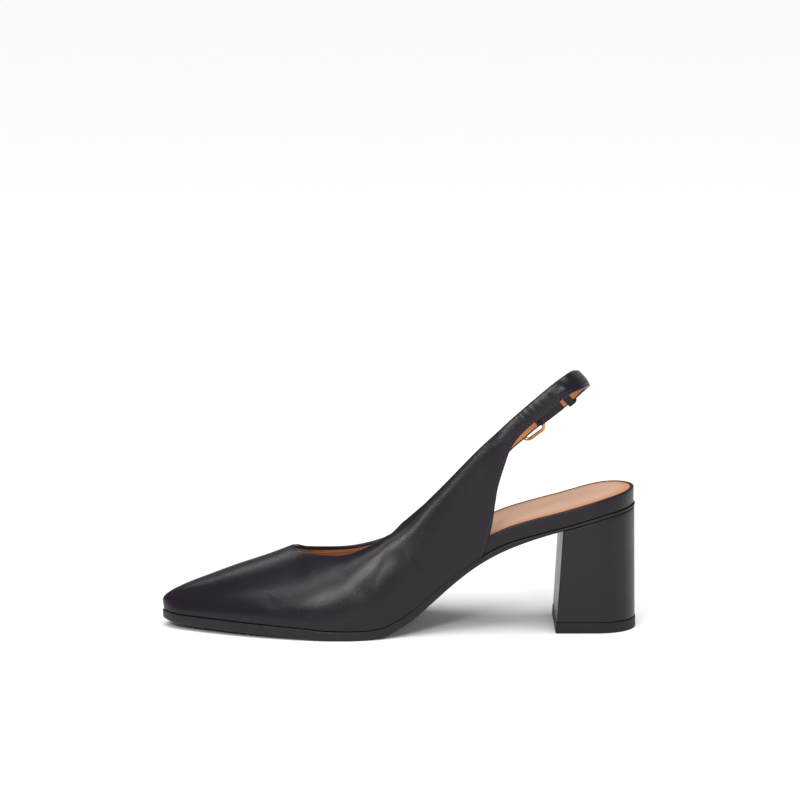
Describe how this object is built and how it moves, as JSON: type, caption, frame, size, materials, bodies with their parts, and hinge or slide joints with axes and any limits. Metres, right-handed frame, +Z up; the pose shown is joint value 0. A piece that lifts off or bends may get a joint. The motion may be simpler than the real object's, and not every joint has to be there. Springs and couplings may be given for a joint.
{
  "type": "slingback pump",
  "caption": "Pointed slingback pump on a mid block heel, with a hollow leather upper, a buckled heel strap and a padded insole.",
  "frame": {"origin": "centre of the heel tip's bottom face, on the floor", "axes": "toe along -X, outer side of the foot along +Y, up along +Z"},
  "size_m": [0.2531, 0.0797, 0.1405],
  "materials": {
    "black_leather": "smooth black leather with a fine grain and a soft gloss",
    "sole_edge": "black sole with a satin edge",
    "tan_leather": "matt tan lining leather",
    "heel_cover": "smooth black leather drawn tight over the heel",
    "tip_rubber": "matt black heel tip",
    "gold_metal": "polished pale gold plating"
  },
  "bodies": {
    "root": {"outsole": "sole_edge", "insole": "black_leather", "sock": "tan_leather", "upper": "black_leather", "heel_block": "heel_cover", "top_lift": "tip_rubber", "sling_strap": "black_leather", "billet_strap": "black_leather", "keeper_loop": "black_leather", "buckle_frame": "gold_metal", "buckle_prong": "gold_metal"}
  },
  "joints": []
}
